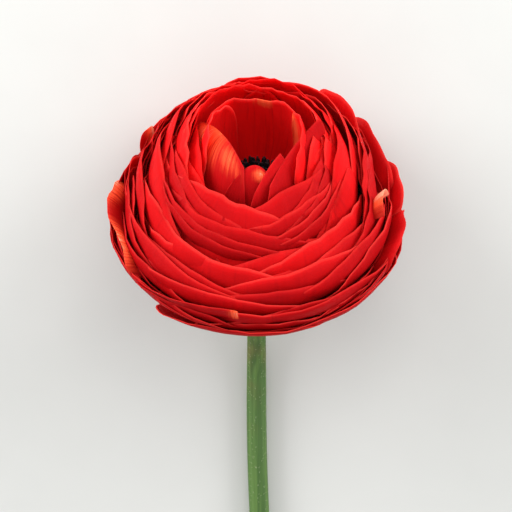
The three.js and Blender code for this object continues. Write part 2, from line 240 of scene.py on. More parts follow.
# %% A petal in its place
CLAW_WIDTH = 0.3
CLAW_END = 0.62
BLOOM_HEIGHT = 50
TOP_RISE = 8.3
RISE_HEIGHT = 40
DIP_END = 0.75
SHOULDER = 0.05
TABLE_SOFTNESS = 0.8
PETAL_THICKNESS = 0.24
TABLE_NORMAL = np.array([0.0, -math.sin(LEAN), math.cos(LEAN)])


def press_on_table(points, floor):
    """Moves points that would sink into the table up on to it."""
    height = BASE_HEIGHT + points @ TABLE_NORMAL
    above = (height - floor) / TABLE_SOFTNESS
    held = floor + TABLE_SOFTNESS * np.logaddexp(0, above)
    return points + (held - height)[:, None] * TABLE_NORMAL


def fan(petal, u, v):
    """The angle round the axis: narrow at the claw, full from its end on."""
    width = mix(CLAW_WIDTH, 1, smooth(v / CLAW_END))
    return petal["azimuth"] + u * petal["half_angle"] * width


def petal_points(petal, u, v):
    """The petal's middle surface in the bloom's frame."""
    radius, height = profile(petal, u, v)
    angle = fan(petal, u, v)
    side = np.sin(angle)
    radius = radius * (1 + SHOULDER * np.sin(2 * angle) ** 2 * np.maximum(side, 0) * smooth(v))
    lean = (np.maximum(height, 0) / BLOOM_HEIGHT) ** 1.5
    x = radius * np.cos(angle) + petal["shift"][0] * lean
    y = radius * np.sin(angle) + petal["shift"][1] * lean
    rise = TOP_RISE * side * (1.5 - 0.5 * side**2) * radius / (radius + 6)
    dip = petal["dip"] * smooth(-side / DIP_END)
    z = height + (rise - dip) * smooth(height / RISE_HEIGHT)
    return press_on_table(np.stack([x, y, z], axis=1), petal["floor"])


sunk = np.array([[0.0, 30.0, -20.0]])
print("a point under the table is eased to", press_on_table(sunk, 0.1).round(2)[0])

# %% [markdown]
# ## The rings
# The outer petals stand in rings of three, each ring turned against the next so that it
# covers the gaps. From the guard petals inwards their rims climb and close into a dome with a
# bowl near its top. One table holds the rims of eight shells, and each ring reads its own
# place between them. Rings that would close the bowl have no petals at the front.

# %% Petals in rings
RINGS = 13
RING_PETALS = 3
RING_TURN = math.radians(77)
RING_START = math.radians(262)
GUARD_TURN = math.radians(14)
TABLE_STACK = 1.5
OPEN_RING = 9
OPEN_FRONT = 0.6
# rim radius, rim height, belly, half of a petal's width, dip at the front
SHELLS = np.array([
    (45.0, 13.0, 0.3, 29, 0),
    (44.6, 20.0, 1.0, 34, 0),
    (40.2, 27.5, 2.0, 33, 0),
    (35.0, 34.0, 3.4, 31, 2.5),
    (30.2, 39.5, 4.6, 29, 4),
    (25.4, 43.5, 5.6, 26, 8),
    (21.2, 46.3, 5.8, 23, 7),
    (17.4, 48.0, 5.4, 20, 5.5),
])


def shell_at(t):
    place = min(t * (len(SHELLS) - 1), len(SHELLS) - 1.001)
    low = int(place)
    return mix(SHELLS[low], SHELLS[low + 1], place - low)


def ring_petal(k):
    ring = k // RING_PETALS
    t = ring / (RINGS - 1)
    radius, height, belly, half_width, dip = shell_at(t)
    turn = RING_START + ring * RING_TURN + (k % RING_PETALS) * 2 * math.pi / RING_PETALS
    return {
        **PLAIN,
        "azimuth": turn + 0.25 * swing(k, 2) + (GUARD_TURN if ring == 0 else 0),
        "root": (mix(10, 12.5, t), mix(2.2, 13, t)),
        "rim": (radius + 0.3 * swing(k, 1), height + 1.2 * swing(k, 3)),
        "belly": belly,
        "fullness": 0.55,
        "sag": mix(4.5, 1, t),
        "half_angle": half_width * (1.18 + 0.12 * swing(k, 4)) / (radius + belly),
        "rounding": 0.2 + 0.12 * draw(k, 5),
        "cup": mix(0.4, -0.3, t),
        "wave": mix(0.8, 0.4, t) * (0.5 + draw(k, 7)),
        "waves": 1.6 + 1.2 * draw(k, 8),
        "phase": 2 * draw(k, 9),
        "droop": 2.0 * swing(k, 10),
        "dip": dip,
        "floor": PETAL_THICKNESS / 2 + TABLE_STACK * ring,
        "ragged": 0.004 + 0.005 * draw(k, 15),
        "ruffle": 0.35 * draw(k, 16),
        "curl": -0.9 * min(1, t / 0.35) * (0.6 + 0.6 * draw(k, 17)),
        # painted light: the ring's place sets its depth, so outer rings are painted a darker red
        # as shaded and inner ones a brighter red as lit through
        "depth": t,
        "tone": draw(k, 18),
    }


def leave_bowl_open(petals):
    """Leaves out the petals of the inner rings that would stand in front of the bowl."""
    kept = []
    for k, petal in enumerate(petals):
        if k // RING_PETALS < OPEN_RING or math.sin(petal["azimuth"]) > -OPEN_FRONT:
            kept.append(petal)
    return kept


ring_petals = leave_bowl_open([ring_petal(k) for k in range(RINGS * RING_PETALS)])
print(len(ring_petals), "petals in rings")

# %% [markdown]
# ## Between the rings
# The real bloom has well over a hundred petals, so its rims lie a millimetre or two apart.
# The rings alone are those of the solids. Two more sets fill the dark channels between them:
# petals half-way between every two rings, and a lining close inside the petals of all but
# the innermost rings.

# %% Petals between and inside the rings
LINED_RINGS = 10


def between_petal(k):
    """A petal between two rings, a little lower than both."""
    petal = ring_petal(k + 1)
    t = (k / RING_PETALS + 0.5) / (RINGS - 1)
    radius, height, belly, half_width, petal["dip"] = shell_at(min(t, 1))
    petal["azimuth"] = ring_petal(k)["azimuth"] + math.radians(38) + 0.5 * swing(k, 21)
    petal["rim"] = (radius + 0.3 * swing(k, 22), height - 1.2 + 1.2 * swing(k, 23))
    petal["belly"] = belly
    petal["half_angle"] = half_width * (1.1 + 0.2 * swing(k, 24)) / (radius + belly)
    petal["droop"] = 2.0 * swing(k, 25)
    petal["phase"] = 2 * draw(k, 26)
    petal["tone"] = draw(k, 27)
    return petal


def lining_petal(k):
    """A petal that lies close inside one of a ring's petals."""
    petal = ring_petal(k)
    radius, height = petal["rim"]
    petal["azimuth"] += 0.3 * swing(k, 63)
    petal["rim"] = (radius - 1.7 - 0.5 * draw(k, 64), height - 1.5 - draw(k, 65))
    petal["phase"] = 2 * draw(k, 66)
    petal["tone"] = draw(k, 67)
    return petal


gaps = (RINGS - 1) * RING_PETALS
between_petals = leave_bowl_open([between_petal(k) for k in range(gaps)])
lining_petals = leave_bowl_open([lining_petal(k) for k in range(LINED_RINGS * RING_PETALS)])
print(len(between_petals), "petals between the rings and", len(lining_petals), "inside them")

# %% [markdown]
# ## Petals that close gaps
# In a few spots the rings' rounded ends still leave a hole through which the dark core would
# show. A growing bloom fills such room with a smaller petal, and so does this table.

# %% Filling petals
USUAL_WRAP = 40
# azimuth, half of its wrap, rim radius, rim height, shell
FILLING = [
    (248, 40, 26.6, 42.8, 0.68),
    (236, 26, 44.2, 18.0, 0.05),
    (272, 28, 43.4, 15.2, 0.03),
    (314, 28, 43.2, 16.0, 0.04),
    (342, 24, 42.8, 17.6, 0.05),
    (173, 22, 39.4, 24.8, 0.27),
    (152, 20, 33.6, 33.4, 0.46),
    (32, 20, 31.0, 35.0, 0.55),
    (183, 20, 37.8, 27.0, 0.33),
    (159, 18, 42.2, 20.2, 0.15),
    (40, 20, 34.5, 30.5, 0.4),
    (10, 16, 36.0, 26.0, 0.33),
]


def placed_petal(azimuth, wrap, radius, height, t):
    """A ring petal of the shell t that is moved to its own place."""
    petal = ring_petal(round(t * (RINGS - 1)) * RING_PETALS)
    petal["azimuth"] = math.radians(azimuth)
    petal["half_angle"] = math.radians(wrap)
    petal["rim"] = (radius, height)
    petal["belly"], petal["dip"] = shell_at(t)[[2, 4]]
    petal["waves"] *= wrap / USUAL_WRAP
    petal["rounding"] = 0.14
    petal["roundness"] = 3
    petal["corner"] = 0.2
    petal["curl"] = 0.2 - t
    return petal


filling_petals = [placed_petal(*row) for row in FILLING]
print(len(filling_petals), "petals close gaps")

# %% [markdown]
# ## Loose petals
# The outer rim isn't even. On the right and at the back some petals stand out as lobes,
# which a strong outward curl of their rims gives. At the upper left a pointed tip sticks out,
# and some petals have turned edges whose red gives way to orange or cream. Those patches are
# kept with the petal: each has its middle (u, v), its reach across and along, and its
# strength.

# %% Loose petals with pale patches
def loose_petal(*place, **changes):
    return {**placed_petal(*place), **changes}


LOOSE = {
    "upper_left_tip": loose_petal(
        145, 6, 39.6, 26.0, 0.2,
        rounding=0.05, roundness=2, corner=0.06, curl=0.8, tilt=-0.03,
        patches=[(-1.0, 1.0, 0.9, 0.2, 1.5)],
    ),
    "orange_left_edge": loose_petal(
        187, 27, 39.8, 23.5, 0.2,
        roundness=4, curl=5.2,
        patches=[(-0.6, 1.0, 0.4, 0.12, 1.0), (0.5, 1.0, 0.4, 0.14, 0.9)],
    ),
    # painted light: the lobes' depth of 0.5 paints them a brighter red than their place would
    # give, where the bloom shades them
    "upper_right_lobe": loose_petal(
        12, 15, 39.2, 24.5, 0.25,
        depth=0.5, rounding=0.08, roundness=4, curl=4.6,
        patches=[(0.8, 1.0, 0.3, 0.06, 0.5)],
    ),
    "lower_right_lobe": loose_petal(
        -14, 14, 39.8, 22.0, 0.2,
        depth=0.5, rounding=0.08, roundness=4, curl=5.8,
    ),
    "back_right_lobe": loose_petal(49, 22, 39.4, 21.5, 0.2, depth=0.5, corner=0.16, curl=5.4),
    "high_right_lobe": loose_petal(27, 22, 36.5, 28.0, 0.3, depth=0.5, curl=5.0),
    "top_right_lobe": loose_petal(44, 18, 30.5, 37.0, 0.45, depth=0.5, curl=4.0),
    "orange_front_tip": loose_petal(
        241, 22, 43.6, 22.5, 0.09,
        rounding=0.0, corner=0.02, curl=1.6, tilt=0.05,
        patches=[(1.0, 0.92, 0.14, 0.14, 1.0)],
    ),
    "cream_right_corner": loose_petal(
        -12, 4.5, 32.4, 34.5, 0.36,
        rounding=0.04, roundness=4, corner=0.06, curl=7.0,
        patches=[(0.6, 1.0, 1.2, 0.2, 1.5)],
    ),
}
loose_petals = list(LOOSE.values())
print("loose petals:", ", ".join(LOOSE))

# %% [markdown]
# ## The bowl
# Five broad petals stand round the dark eye as the flower shows them: one tall wall at the
# back, one at each side, and two wide ones in front whose rims lean over the bowl. The
# solids have all five.

# %% Petals of the bowl
# radius and height at which the petals of the bowl and of its heart are rooted
BOWL_ROOT = (12, 14.5)
BOWL_SHIFT = (-1, -2)
BOWL_WALLS = 3
# painted light: the depth of the bowl's front petals, its apron and the folds, low so that they
# are painted a darker red as shaded
FRONT_PAINTED_LIGHT = 0.4
# azimuth, rim radius, rim height, belly, fullness, half of its wrap, rounding, roundness, droop
BOWL = [
    (88, 16, 45.5, 3.0, 0.55, 66, 0.08, 3, 0),
    (2, 14.4, 50, 3.0, 0.55, 44, 0.04, 3, 0),
    (152, 13.5, 48, 4.0, 0.55, 44, 0.1, 3, 0),
    (246, 17.5, 45.5, 8.5, 0.68, 62, 0.16, 2, -2),
    (300, 16.5, 46, 7.5, 0.66, 60, 0.16, 2, 2),
]
# painted light: the back wall's pink spot is a painted highlight, the right wall's orange streak
# painted glow along its edge
BOWL_PAINTED_HIGHLIGHTS = [[(-0.12, 0.97, 0.12, 0.06, 1.2)], [(0.9, 0.86, 0.16, 0.4, 0.7)], [], [], []]


def bowl_petal(k):
    azimuth, radius, height, belly, fullness, wrap, rounding, roundness, droop = BOWL[k]
    return {
        **PLAIN,
        "azimuth": math.radians(azimuth),
        "root": BOWL_ROOT,
        "rim": (radius, height),
        "belly": belly,
        "fullness": fullness,
        "sag": -2,
        "half_angle": math.radians(wrap),
        "rounding": rounding,
        "roundness": roundness,
        "cup": -0.8,
        "wave": 0.4,
        "waves": 1.5,
        "phase": 2 * draw(k, 11),
        "droop": droop,
        "shift": BOWL_SHIFT,
        "ragged": 0.008,
        "ruffle": 0.3,
        # painted light: the walls of the bowl are painted the brightest red as lit through, the
        # front petals a darker one as shaded
        "depth": 1.0 if k < BOWL_WALLS else FRONT_PAINTED_LIGHT,
        "tone": draw(k, 19),
        "patches": BOWL_PAINTED_HIGHLIGHTS[k],
    }


bowl_petals = [bowl_petal(k) for k in range(len(BOWL))]
print(len(bowl_petals), "petals form the bowl")

# %% [markdown]
# ## The apron
# On the face of the bloom the rims lie over one another like tiles. The two broad front
# petals of the bowl alone would be plain cushions, so shorter and slightly turned copies of
# them lie against their outer side, each one ending lower than the one before.

# %% Petals of the apron
# which bowl petal it lies on, its turn, its reach, that reach's tilt, how far out it lies
APRON = [
    (3, -22, 0.93, -0.03, 0.8),
    (4, 24, 0.93, 0.03, 0.8),
    (4, -4, 0.87, 0.02, 1.4),
    (3, 4, 0.85, -0.02, 1.9),
    (3, -32, 0.86, -0.03, 1.6),
    (4, 32, 0.87, 0.04, 1.6),
    (4, 10, 0.79, 0.03, 2.5),
    (3, -8, 0.78, -0.03, 3.0),
    (3, -18, 0.72, -0.02, 3.6),
    (4, 20, 0.73, 0.03, 3.6),
]


def apron_petal(k):
    on, turn, reach, tilt, out = APRON[k]
    petal = bowl_petal(on)
    petal["azimuth"] += math.radians(turn)
    petal["reach"] = reach
    petal["tilt"] = tilt
    petal["out"] = out
    petal["tone"] = draw(k, 60)
    petal["phase"] = 2 * draw(k, 61)
    return petal


apron_petals = [apron_petal(k) for k in range(len(APRON))]
print(len(apron_petals), "petals form the apron")

# %% [markdown]
# ## Folded petals in the heart
# Four small petals fold over the eye, one of them as a round ball in front of it. They don't
# run round the axis, so their rims follow curves of their own, each led by three points.

# %% Folded petals
FOLD_SPREAD = 8
# azimuth and half wrap of its root, three points of its rim, bulge, drop, rounding, roundness
FOLDS = [
    (208, 56, (-15, 11, 45), (-11, 3, 49), (-3.5, -7, 45), 8, 1, 0.1, 3),
    (320, 50, (4, -14, 42), (9, -4, 46), (18, 4.5, 51.5), 6, 2, 0.03, 2),
    (290, 34, (-0.5, -15.5, 40), (2.5, -11, 43.5), (6.5, -5.5, 47), 5, 1, 0.04, 2),
    (266, 46, (-5.2, -10.5, 42), (-0.4, -5.6, 46.5), (4.4, -11.5, 42), 5.5, 0.5, 0.05, 4),
]
# painted light: the first fold's orange-pink patches are painted glow and sheen, the ball's patch
# a painted highlight
FOLD_PAINTED_HIGHLIGHTS = [
    [(-0.35, 0.86, 0.62, 0.22, 1.0), (0.55, 0.86, 0.35, 0.12, 0.7)],
    [],
    [],
    [(0.25, 0.86, 0.3, 0.07, 1.0)],
]


def folded_petal(k):
    azimuth, wrap, start, lead, end, bulge, drop, rounding, roundness = FOLDS[k]
    return {
        "azimuth": math.radians(azimuth),
        "half_angle": math.radians(wrap),
        "line": [np.array(p, float) for p in (start, lead, end)],
        "rim": lead[1:],
        "bulge": bulge,
        "drop": drop,
        "rounding": rounding,
        "roundness": roundness,
        # painted light: a folded petal is painted the darker red of shade
        "depth": FRONT_PAINTED_LIGHT,
        "tone": draw(k, 20),
        "patches": FOLD_PAINTED_HIGHLIGHTS[k],
    }


def folded_points(petal, u, v):
    """A folded petal's middle surface in the bloom's frame."""
    start, lead, end = petal["line"]
    w = ((u + 1) / 2)[:, None]
    rim = start * (1 - w) ** 2 + 2 * lead * w * (1 - w) + end * w**2
    angle = fan(petal, u, v)
    out = np.stack([np.cos(angle), np.sin(angle), 0 * angle], axis=1)
    root = BOWL_ROOT[0] * out + [0, 0, BOWL_ROOT[1]]
    above_root = root + FOLD_SPREAD * out + [0, 0, FOLD_SPREAD]
    below_rim = rim + petal["bulge"] * out - [0, 0, petal["drop"]]
    t = (v * (1 - petal["rounding"] * np.abs(u) ** petal["roundness"]))[:, None]
    return bezier(root, above_root, below_rim, rim, t)


folded_petals = [folded_petal(k) for k in range(len(FOLDS))]
print(len(folded_petals), "petals fold over the eye")

# %% [markdown]
# ## One flat petal
# Every petal starts as the same flat grid. Its UV map runs from root to rim and stays with
# the petal however it is bent, so the veins can follow it. Modelling a petal as a flat sheet
# and bending it keeps its faces even, which a sculpted one would not.

# %% A flat petal
def flat_sheet(columns, rows, name):
    """A flat grid from -1 to 1, whose UV map has the name of what the sheet becomes."""
    deselect()
    bpy.ops.mesh.primitive_grid_add(
        x_subdivisions=columns, y_subdivisions=rows, size=2, calc_uvs=True
    )
    sheet = bpy.context.object
    sheet.name = f"flat_{name}"
    sheet.data.uv_layers[0].name = name
    return sheet


flat_petal = flat_sheet(26, 16, "petal")
print("the flat petal has", len(flat_petal.data.polygons), "faces")

# %% [markdown]
# ## Bending it
# A copy of the flat petal, with its own mesh, takes the formula's shape. The grid's columns crowd
# towards both sides, where the outline is round. Each point keeps four numbers for the finish: how
# near it is to the free margin, where a lighter rim is painted as light shining through; its
# depth, a share of painted light that sets how bright a red its petal is painted, lit through or
# shaded; the petal's own tone; and its blush, which is how far a pale patch replaces the red, with
# painted highlights and glow on the bowl and the folds and orange and cream edges on the loose
# petals.

# %% A bent petal
# short of a quarter turn, so that the outermost columns stay apart
CROWDING = 0.999


def own_copy(piece):
    """A copy that has its own mesh."""
    copy = piece.copy()
    copy.data = piece.data.copy()
    bpy.context.collection.objects.link(copy)
    return copy


# pale patches: orange and cream edges on the loose petals, painted highlights and glow on the bowl
# and the folds
def blush_and_highlight_of(petal, u, v):
    pale = np.zeros(len(u))
    for middle_u, middle_v, reach_u, reach_v, strength in petal["patches"]:
        patch = np.exp(-(((u - middle_u) / reach_u) ** 2) - ((v - middle_v) / reach_v) ** 2)
        pale = np.maximum(pale, strength * patch)
    return pale


# nearness to the free margin, where the finish paints a lighter rim as light shining through
def margin_of(u, v):
    near_rim = smooth((v - 0.8) / 0.2)
    near_side = smooth((np.abs(u) - 0.86) / 0.14) * smooth((v - 0.45) / 0.3)
    return np.maximum(near_rim, near_side)


def bend_petal(petal, name):
    """A copy of the flat petal, bent to one petal's shape."""
    copy = own_copy(flat_petal)
    copy.name = name
    flat = points_of(copy)
    u = np.sin(flat[:, 0] * math.pi / 2 * CROWDING)
    v = (flat[:, 1] + 1) / 2
    shape = folded_points if "line" in petal else petal_points
    move_points(copy, carry(shape(petal, u, v), bloom_to_world))
    mark(copy, "margin", margin_of(u, v))
    # painted light: the depth sets how bright a red the finish paints this petal
    mark(copy, "depth", np.full(len(u), petal["depth"]))
    mark(copy, "tone", np.full(len(u), petal["tone"]))
    # the blush holds the pale patches, partly painted highlights and glow
    mark(copy, "blush_and_highlight", blush_and_highlight_of(petal, u, v))
    return copy


trial = bend_petal(ring_petals[0], "trial")
print("the first guard petal is", [round(1000 * side, 1) for side in trial.dimensions], "mm")
bpy.data.objects.remove(trial)

# %% [markdown]
# ## Thickness
# A petal is a sheet of about a quarter of a millimetre. Joined petals are one piece to
# Blender, so Solidify gives all of them their thickness at once, half on each side, and
# closes them along their edges.

# %% Join and thicken
def join(pieces, name):
    pick(pieces[0])
    for piece in pieces:
        piece.select_set(True)
    bpy.ops.object.join()
    joined = bpy.context.object
    joined.name = name
    joined.data.name = name
    return joined


def thicken(piece, thickness):
    pick(piece)
    solidify = piece.modifiers.new("thickness", "SOLIDIFY")
    solidify.thickness = thickness
    solidify.offset = 0
    bpy.ops.object.modifier_apply(modifier="thickness")
    bpy.ops.object.shade_smooth()
    return piece


all_petals = ring_petals + between_petals + lining_petals + filling_petals + loose_petals
all_petals += bowl_petals + apron_petals + folded_petals
print(len(all_petals), "petals are to be bent")

# %% [markdown]
# ## Two pieces
# One piece of all petals could not be looked at or replaced in parts. A real bloom is taken
# apart from the outside, so the petals are split by how high their rims stand: the low ones
# form the outer piece, the high ones round the bowl the inner one.

# %% Two pieces, outer and inner
SPLIT_HEIGHT = 36
whorls = {
    "outer_petals": [petal for petal in all_petals if petal["rim"][1] < SPLIT_HEIGHT],
    "inner_petals": [petal for petal in all_petals if petal["rim"][1] >= SPLIT_HEIGHT],
}
petal_pieces = []
for name, petals in whorls.items():
    bent = [bend_petal(petal, f"{name}_{k}") for k, petal in enumerate(petals)]
    petal_pieces.append(thicken(join(bent, name), PETAL_THICKNESS / 1000))
bpy.data.objects.remove(flat_petal)
for piece in petal_pieces:
    print(piece.name, "has", len(piece.data.polygons), "faces")

# %% [markdown]
# ## Shader sums
# A finish is arithmetic on masks. Written as expressions, such as 1 - mask, it stays
# readable. This class wraps a shader socket, and each sum on it adds a Math node.

# %% Wires
class Wire:
    """A number or colour that flows from a shader node's socket."""

    def __init__(self, finish, socket):
        self.finish = finish
        self.socket = socket

    def sum(self, operation, first, second):
        return self.finish.node("ShaderNodeMath", {"operation": operation}, {0: first, 1: second})

    def __add__(self, other):
        return self.sum("ADD", self, other)

    __radd__ = __add__

    def __sub__(self, other):
        return self.sum("SUBTRACT", self, other)

    def __rsub__(self, other):
        return self.sum("SUBTRACT", other, self)

    def __mul__(self, other):
        return self.sum("MULTIPLY", self, other)

    __rmul__ = __mul__


print("wires can be added, subtracted and multiplied")

# %% [markdown]
# ## A finish
# One method adds any node: its settings come first, then the values or wires of its sockets.
# The few nodes that every finish needs, such as noise and a mix of two colours, are short
# methods on top of it. A finish ends by feeding the shader's own sockets.

# %% Finishes
class Finish:
    """A material whose nodes are added one by one."""

    def __init__(self, name):
        self.material = bpy.data.materials.new(name)
        self.material.use_nodes = True
        self.tree = self.material.node_tree
        self.shader = self.tree.nodes["Principled BSDF"]

    def feed(self, socket, value):
        if isinstance(value, Wire):
            self.tree.links.new(value.socket, socket)
        else:
            socket.default_value = value

    def node(self, kind, settings=None, sockets=None, output=0):
        made = self.tree.nodes.new(kind)
        for key, value in (settings or {}).items():
            setattr(made, key, value)
        for key, value in (sockets or {}).items():
            self.feed(made.inputs[key], value)
        return Wire(self, made.outputs[output])

    def place(self):
        """Where a point is on the object, in metres."""
        return self.node("ShaderNodeTexCoord", output="Object")

    def unwrapped(self, name):
        """Where a point is on the piece's UV map."""
        return self.node("ShaderNodeUVMap", {"uv_map": name})

    def stretched(self, where, scale):
        return self.node("ShaderNodeMapping", None, {"Vector": where, "Scale": scale})

    def spot(self, name):
        """The number that the mesh keeps at each point."""
        return self.node("ShaderNodeAttribute", {"attribute_name": name}, output="Fac")

    def noise(self, where, scale, detail=3.0, seed=0.0):
        sockets = {"Vector": where, "W": seed, "Scale": scale, "Detail": detail}
        return self.node("ShaderNodeTexNoise", {"noise_dimensions": "4D"}, sockets)

    def between(self, value, low, high):
        """0 below low, 1 above high, and a smooth rise between."""
        sockets = {"Value": value, "From Min": low, "From Max": high}
        return self.node("ShaderNodeMapRange", {"interpolation_type": "SMOOTHSTEP"}, sockets)

    def colours(self, factor, a, b):
        """Colour a where the factor is 0, b where it is 1."""
        return self.node("ShaderNodeMix", {"data_type": "RGBA"}, {0: factor, 6: a, 7: b}, output=2)

    def bump(self, height, distance, strength):
        sockets = {"Height": height, "Distance": distance, "Strength": strength}
        self.feed(self.shader.inputs["Normal"], self.node("ShaderNodeBump", None, sockets))

    def set(self, **values):
        """Feeds the shader's sockets, with _ for a space in their names."""
        for name, value in values.items():
            self.feed(self.shader.inputs[name.replace("_", " ").title()], value)
        return self.material


def rgb(red, green, blue):
    return (red, green, blue, 1)


def dress(piece, material, node):
    """Gives a piece its finish and its place in the model."""
    piece.data.materials.clear()
    piece.data.materials.append(material)
    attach(piece, "root")
    if node:
        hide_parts(node)


print("a finish starts with", len(Finish("plain").tree.nodes), "nodes")
bpy.data.materials.remove(bpy.data.materials["plain"])

# %% [markdown]
# ## The petals' finish
# A real petal is a thin sheet of cells, satin on its face, with fine veins that fan from the claw
# to the rim. Its red is painted light and shade: the higher a petal's depth, the brighter its red,
# so the walls of the bowl and the inner rings are painted as lit through by the light that falls
# on them, the outer rings and the front of the bowl a darker red as shaded, and the lobes lighter
# than their place would give. Thin margins are painted lighter, as light that shines through them.
# Pale patches turn orange first and cream where they are strong, broken up by the veins; on the
# bowl and the folds they are painted highlights and glow. The veins are noise stretched along the
# petal's own UV map, and the tone makes every petal's noise its own.

# %% The petals' material
def petal_finish():
    petal = Finish("petal")
    place = petal.unwrapped("petal")
    tone = petal.spot("tone")
    depth = petal.spot("depth")
    veins = petal.noise(petal.stretched(place, (70.0, 2.2, 1.0)), 1.0, 2.0, tone * 20)
    folds = petal.noise(petal.stretched(place, (7.0, 1.6, 1.0)), 1.0, 3.0, tone * 20 + 7)
    bright = petal.between(folds, 0.35, 0.7) * 0.6 + tone * 0.4
    # painted light: outer is the darker red of shaded petals, inner the brighter red of petals lit
    # through, and the depth mixes them
    outer = petal.colours(bright, rgb(0.35, 0.003, 0.005), rgb(0.46, 0.004, 0.006))
    inner = petal.colours(bright, rgb(0.86, 0.008, 0.009), rgb(0.98, 0.009, 0.01))
    red = petal.colours(depth * depth, outer, inner)
    veined = petal.colours(petal.between(veins, 0.5, 0.75) * 0.3, red, rgb(0.3, 0.003, 0.005))
    # painted light: thin margins are painted a lighter red, as light that shines through them
    rim_light_mask = petal.between(petal.spot("margin"), 0.88, 1.0)
    rim_light = rim_light_mask * (petal.between(tone, 0.2, 1.0) * 0.45 + 0.15)
    rim_lit = petal.colours(rim_light, veined, rgb(0.85, 0.05, 0.04))
    # painted light in part: the pale patches of the bowl and the folds are painted highlights and
    # glow; those of the loose petals are orange and cream edges
    blush_and_highlight = petal.spot("blush_and_highlight") * petal.between(veins, 0.1, 0.7)
    orange = petal.colours(petal.between(blush_and_highlight, 0.05, 0.6), rim_lit, rgb(0.95, 0.1, 0.035))
    cream = petal.colours(petal.between(blush_and_highlight, 0.6, 1.0) * 0.8, orange, rgb(0.92, 0.38, 0.24))
    petal.bump(veins * 0.5 + folds * 2.0, 0.0004, 0.5)
    petal.shader.inputs["Specular IOR Level"].default_value = 0.1
    return petal.set(
        Base_Color=cream,
        Roughness=0.5 + folds * 0.2,
        Subsurface_Weight=0.15,
        Subsurface_Radius=(0.0015, 0.0003, 0.0002),
        Subsurface_Scale=1.0,
        Specular_Tint=rgb(1, 0.25, 0.25),
    )


petal_material = petal_finish()
for piece in petal_pieces:
    dress(piece, petal_material, "petals")
print("petals are finished with", len(petal_material.node_tree.nodes), "nodes")

# %% [markdown]
# ## Turned shapes
# The collar of the calyx, a stamen and a carpel are all round in section. Each starts as a
# filled circle that is extruded upwards step by step and resized at every step, as on a
# lathe. It is modelled in millimetres at the origin and carried to its place afterwards.

# %% A turned shape
def turned(outline, sides, name):
    """A closed shape through circles of (radius, height), from the lowest up."""
    deselect()
    radius, height = outline[0]
    bpy.ops.mesh.primitive_circle_add(
        vertices=sides, radius=radius, fill_type="NGON", location=(0, 0, height)
    )
    piece = bpy.context.object
    piece.name = name
    bpy.ops.object.transform_apply(location=True, rotation=True, scale=True)
    bpy.ops.object.mode_set(mode="EDIT")
    for next_radius, next_height in outline[1:]:
        up = {"value": (0, 0, next_height - height)}
        bpy.ops.mesh.extrude_region_move(TRANSFORM_OT_translate=up)
        grow = next_radius / radius
        bpy.ops.transform.resize(value=(grow, grow, 1))
        radius, height = next_radius, next_height
    bpy.ops.mesh.select_all(action="SELECT")
    bpy.ops.mesh.normals_make_consistent(inside=False)
    bpy.ops.object.mode_set(mode="OBJECT")
    return piece


def smooth_faces(piece, angle=60):
    pick(piece)
    bpy.ops.object.shade_smooth_by_angle(angle=math.radians(angle))


trial = turned([(1, 0), (0.5, 2)], 8, "trial")
print("a turned trial has", len(trial.data.polygons), "faces")
bpy.data.objects.remove(trial)

# %% [markdown]
# ## Copies at many places
# Stamens, carpels and hairs repeat. Each is modelled once, and its copies, every one with
# its own mesh, are set at drawn places and joined to one piece.

# %% Spreading a shape
def stand(point, along, size=1.0, roll=0.0):
    """The matrix that stands a shape on a point, its Z along a direction."""
    turn = Vector(along).to_track_quat("Z", "Y").to_matrix().to_4x4()
    return Matrix.Translation(point) @ turn @ Matrix.Rotation(roll, 4, "Z") @ Matrix.Scale(size, 4)


def spread(pattern, places, name):
    """Copies of a pattern, one at each matrix, joined. The pattern is removed."""
    copies = []
    for place in places:
        copy = own_copy(pattern)
        copy.data.transform(place)
        copies.append(copy)
    bpy.data.objects.remove(pattern)
    return join(copies, name)


print("a shape stood on (1, 2, 3) is at", list(stand((1, 2, 3), (0, 0, 1)).translation))

# %% [markdown]
# ## One stamen
# Deep in the bowl stands a crown of black-purple stamens. Each is a thin filament with a
# long anther. It is turned first. Then its anther is squeezed flat, and a groove is pressed
# along the middle of both faces, as the real one's two pollen sacs have.

# %% A stamen
CORE_TOP = 18.0
EYE_FOOT = CORE_TOP + GAP
STAMEN_HEIGHT = 14.0
ANTHER_FOOT = 8.9
ANTHER_FLATNESS = 0.66
GROOVE_DEPTH = 0.45
GROOVE_WIDTH = 0.25
FILAMENT = [(0.3, 0), (0.24, 4.5), (0.22, 8.6)]
ANTHER = [(0.55, 9.1), (0.86, 10.4), (0.92, 11.8), (0.86, 13.3), (0.6, 14.0)]

stamen = turned(FILAMENT + ANTHER, 8, "stamen")
shape = points_of(stamen)
anther = shape[:, 2] > ANTHER_FOOT
groove = 1 - GROOVE_DEPTH * np.exp(-((shape[anther, 0] / GROOVE_WIDTH) ** 2))
shape[anther, 1] *= ANTHER_FLATNESS * groove
move_points(stamen, shape)
print("one stamen has", len(stamen.data.polygons), "faces")

# %% [markdown]
# ## The crown
# The stamens stand in three crowded rows on a low ledge, and every one leans a little its
# own way. The outermost row is the highest.

# %% The crown of stamens
# how many, radius of the row, lean outwards, height
STAMEN_ROWS = [
    (54, 8.1, 0.5, 1.02),
    (46, 7.3, -0.2, 0.98),
    (36, 6.5, -0.7, 0.93),
]
# radius and height above the eye's foot
LEDGE = [(8.9, 0), (8.8, 0.9), (8.3, 1.2), (6.5, 1.1), (5.9, 0.5)]


